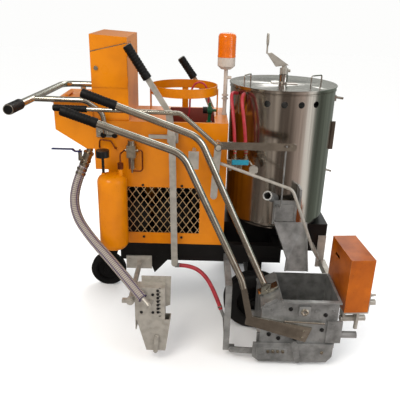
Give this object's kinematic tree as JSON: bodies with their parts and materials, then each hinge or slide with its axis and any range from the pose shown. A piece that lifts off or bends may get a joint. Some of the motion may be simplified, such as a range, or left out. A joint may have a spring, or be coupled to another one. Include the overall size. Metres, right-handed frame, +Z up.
{
  "type": "line striping machine",
  "caption": "Self-propelled thermoplastic road line striping machine with heated kettle, marking shoe, bead dispenser and push bar.",
  "frame": {"origin": "on the ground under the middle of the machine", "axes": "+X the way the machine travels, +Y away from the working side, +Z up"},
  "size_m": [1.5297, 1.0527, 1.393],
  "materials": {
    "orange_paint": "gloss",
    "galvanised_steel": "satin",
    "polished_steel": "polished",
    "stainless": "brushed",
    "bare_steel": "dull",
    "black_paint": "satin",
    "cast_grey": "rough",
    "rubber_black": "matte",
    "tyre_black": "matte",
    "plastic_black": "matte",
    "plastic_blue": "matte",
    "red_rubber": "satin",
    "hose_pvc": "satin",
    "beacon_orange": "clear",
    "brass": "satin",
    "green_paint": "gloss"
  },
  "bodies": {
    "machine": {"air_fittings": "brass", "air_lines": "brass", "air_tank": "orange_paint", "ball_valve": "brass", "beacon_lens": "beacon_orange", "beacon_mast": "galvanised_steel", "bead_dispenser": "bare_steel", "bead_hopper": "orange_paint", "bead_hose": "hose_pvc", "body_housing": "orange_paint", "burner": "bare_steel", "burner_hose": "red_rubber", "chassis_frame": "black_paint", "compressor": "cast_grey", "control_cabinet": "orange_paint", "cylinder_ring": "orange_paint", "dispenser_arm": "bare_steel", "drive_belt": "rubber_black", "engine": "cast_grey", "gas_hose_front": "red_rubber", "gas_hose_rear": "red_rubber", "gas_manifold": "brass", "gas_regulator": "green_paint", "grille_mesh": "bare_steel", "handlebar": "galvanised_steel", "housing_screws": "bare_steel", "kettle_jacket": "stainless", "kettle_pot": "bare_steel", "lever_brackets": "bare_steel", "outlet_valve": "bare_steel", "regulator_hose": "red_rubber", "side_box": "orange_paint", "side_box_bracket": "bare_steel"},
    "near_wheel": {"front_wheel_near": "tyre_black"},
    "far_wheel": {"front_wheel_far": "tyre_black"},
    "caster_swivel_body": {"caster_fork": "black_paint"},
    "caster_wheel_body": {"caster_wheel": "tyre_black"},
    "engine_pulley_body": {"engine_pulley": "cast_grey"},
    "compressor_pulley_body": {"compressor_pulley": "cast_grey"},
    "cabinet_door_body": {"cabinet_door": "orange_paint"},
    "regulator_knob_body": {"regulator_knob": "plastic_black"},
    "hopper_lid_body": {"bead_hopper_lid": "orange_paint"},
    "valve_lever_body": {"ball_valve_lever": "plastic_blue"},
    "dispenser_gate_body": {"dispenser_gate": "bare_steel"},
    "throttle_body": {"throttle_lever": "black_paint"},
    "shoe_body": {"shoe_hopper": "bare_steel", "shoe_skids": "bare_steel", "shoe_lever": "polished_steel", "shoe_lever_grip": "rubber_black"},
    "gate_body": {"shoe_cover": "bare_steel", "gate_lever": "polished_steel", "gate_lever_grip": "rubber_black"},
    "outlet_lever_body": {"outlet_lever": "polished_steel", "outlet_lever_grip": "rubber_black"},
    "outlet_gate_body": {"outlet_gate": "bare_steel"},
    "drive_lever_body": {"drive_lever": "bare_steel"},
    "brake_lever_body": {"brake_lever": "bare_steel"},
    "kettle_lid_body": {"kettle_lid": "stainless"},
    "stirrer_body": {"stirrer": "bare_steel"},
    "manifold_knob_body": {"manifold_knob": "black_paint"}
  },
  "joints": [
    {"name": "near_wheel_spin", "type": "hinge", "parent": "machine", "child": "near_wheel", "pos_m": [0.26, -0.17, 0.15], "axis": [0, 1, 0], "continuous": true},
    {"name": "far_wheel_spin", "type": "hinge", "parent": "machine", "child": "far_wheel", "pos_m": [0.26, 0.476, 0.15], "axis": [0, 1, 0], "continuous": true},
    {"name": "caster_swivel", "type": "hinge", "parent": "machine", "child": "caster_swivel_body", "pos_m": [-0.492, 0.188, 0.276], "axis": [0, 0, 1], "continuous": true},
    {"name": "caster_spin", "type": "hinge", "parent": "caster_swivel_body", "child": "caster_wheel_body", "pos_m": [-0.528, 0.188, 0.097], "axis": [0, 1, 0], "continuous": true},
    {"name": "engine_pulley_spin", "type": "hinge", "parent": "machine", "child": "engine_pulley_body", "pos_m": [-0.15, -0.084, 0.54], "axis": [0, 1, 0], "continuous": true},
    {"name": "compressor_pulley_spin", "type": "hinge", "parent": "machine", "child": "compressor_pulley_body", "pos_m": [-0.34, -0.084, 0.546], "axis": [0, 1, 0], "continuous": true},
    {"name": "cabinet_door_hinge", "type": "hinge", "parent": "machine", "child": "cabinet_door_body", "pos_m": [-0.343, -0.134, 1.26], "axis": [0, 0, 1], "range_deg": [0, 70]},
    {"name": "regulator_knob_turn", "type": "hinge", "parent": "machine", "child": "regulator_knob_body", "pos_m": [-0.007, 0.04, 1.046], "axis": [1, 0, 0], "range_deg": [0, 300]},
    {"name": "hopper_lid_hinge", "type": "hinge", "parent": "machine", "child": "hopper_lid_body", "pos_m": [-0.505, 0.026, 1.105], "axis": [0, 1, 0], "range_deg": [0, 75]},
    {"name": "ball_valve_turn", "type": "hinge", "parent": "machine", "child": "valve_lever_body", "pos_m": [-0.576, -0.1, 0.87], "axis": [0, 0, 1], "range_deg": [0, 90]},
    {"name": "dispenser_gate_turn", "type": "hinge", "parent": "machine", "child": "dispenser_gate_body", "pos_m": [-0.196, -0.445, 0.138], "axis": [0, 1, 0], "range_deg": [0, 60]},
    {"name": "throttle_turn", "type": "hinge", "parent": "machine", "child": "throttle_body", "pos_m": [-0.64, 0.303, 1.076], "axis": [0, 1, 0], "range_deg": [0, 35]},
    {"name": "shoe_lift", "type": "hinge", "parent": "machine", "child": "shoe_body", "pos_m": [0.142, -0.444, 0.055], "axis": [0, 1, 0], "range_deg": [-6, 0]},
    {"name": "gate_lever_turn", "type": "hinge", "parent": "shoe_body", "child": "gate_body", "pos_m": [0.266, -0.3465, 0.296], "axis": [0, 1, 0], "range_deg": [-10, 0]},
    {"name": "outlet_lever_turn", "type": "hinge", "parent": "machine", "child": "outlet_lever_body", "pos_m": [0.053, -0.22, 0.942], "axis": [0, 1, 0], "range_deg": [-8, 0]},
    {"name": "outlet_gate_slide", "type": "slide", "parent": "machine", "child": "outlet_gate_body", "axis": [0, 0, 1], "range_m": [0, 0.0416]},
    {"name": "drive_lever_turn", "type": "hinge", "parent": "machine", "child": "drive_lever_body", "pos_m": [-0.149, -0.182, 0.966], "axis": [0, 1, 0], "range_deg": [0, 12]},
    {"name": "brake_lever_turn", "type": "hinge", "parent": "machine", "child": "brake_lever_body", "pos_m": [0.04, 0.24, 0.985], "axis": [0, 1, 0], "range_deg": [0, 15]},
    {"name": "kettle_lid_hinge", "type": "hinge", "parent": "machine", "child": "kettle_lid_body", "pos_m": [0.364, 0.104, 1.173], "axis": [-1, 0, 0], "range_deg": [0, 60]},
    {"name": "stirrer_turn", "type": "hinge", "parent": "machine", "child": "stirrer_body", "pos_m": [0.364, 0.14, 1.164], "axis": [0, 0, 1], "continuous": true},
    {"name": "manifold_knob_turn", "type": "hinge", "parent": "machine", "child": "manifold_knob_body", "pos_m": [0.22, -0.136, 0.815], "axis": [0, 1, 0], "range_deg": [0, 270]}
  ],
  "couplings": [
    {"joint": "compressor_pulley_spin", "follows": "engine_pulley_spin", "ratio": 0.56757},
    {"joint": "outlet_gate_slide", "follows": "outlet_lever_turn", "m_per_rad": -0.297}
  ]
}
